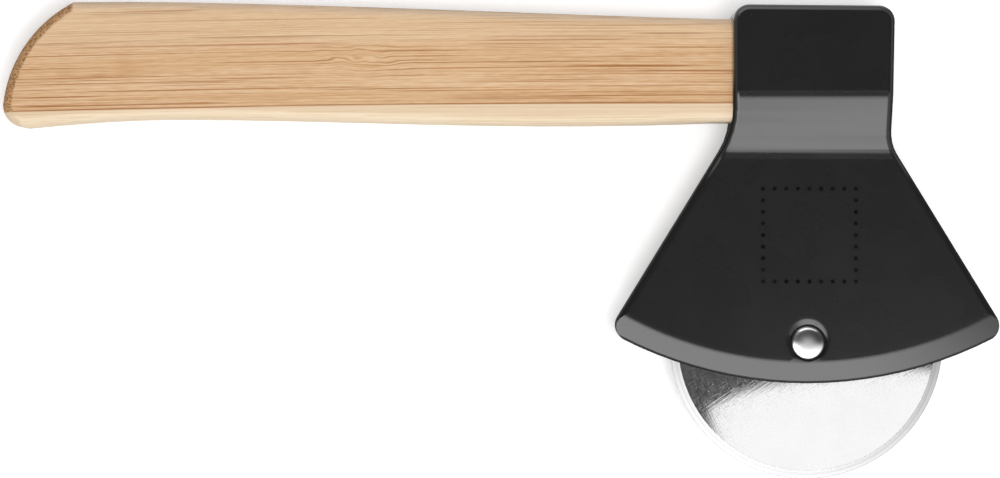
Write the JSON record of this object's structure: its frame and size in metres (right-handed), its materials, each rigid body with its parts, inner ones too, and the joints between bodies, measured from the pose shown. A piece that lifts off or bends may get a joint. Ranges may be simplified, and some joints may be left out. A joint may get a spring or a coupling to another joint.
{
  "type": "pizza cutter",
  "caption": "Axe-shaped pizza cutter: a bamboo handle set in a black moulded head, with a free-turning steel wheel riveted in a slot along the head's curved lower edge.",
  "frame": {"origin": "middle of the outline's box, on the surface that the cutter lies on with the rear face of its eye", "axes": "+X along the handle towards the head, +Y from the wheel towards the poll, +Z out of the front face, along the wheel's axle"},
  "size_m": [0.2086, 0.1, 0.02],
  "materials": {
    "bamboo": "sanded laminated bamboo, satin",
    "black_plastic": "smooth moulded, semi-gloss black",
    "wheel_steel": "finely brushed and polished stainless steel",
    "rivet_steel": "polished",
    "nylon": "natural nylon",
    "pin_steel": "drawn steel pin"
  },
  "bodies": {
    "head_and_handle": {"handle": "bamboo", "front_shell": "black_plastic", "rear_shell": "black_plastic", "axle_barrel": "rivet_steel", "axle_post": "rivet_steel", "front_washer": "nylon", "rear_washer": "nylon", "handle_pin_upper": "pin_steel", "handle_pin_lower": "pin_steel"},
    "wheel": {"cutting_wheel": "wheel_steel"}
  },
  "joints": [
    {"name": "wheel_spin", "type": "hinge", "parent": "head_and_handle", "child": "wheel", "pos_m": [0.06412, -0.02134, 0.01], "axis": [0, 0, 1], "continuous": true}
  ]
}
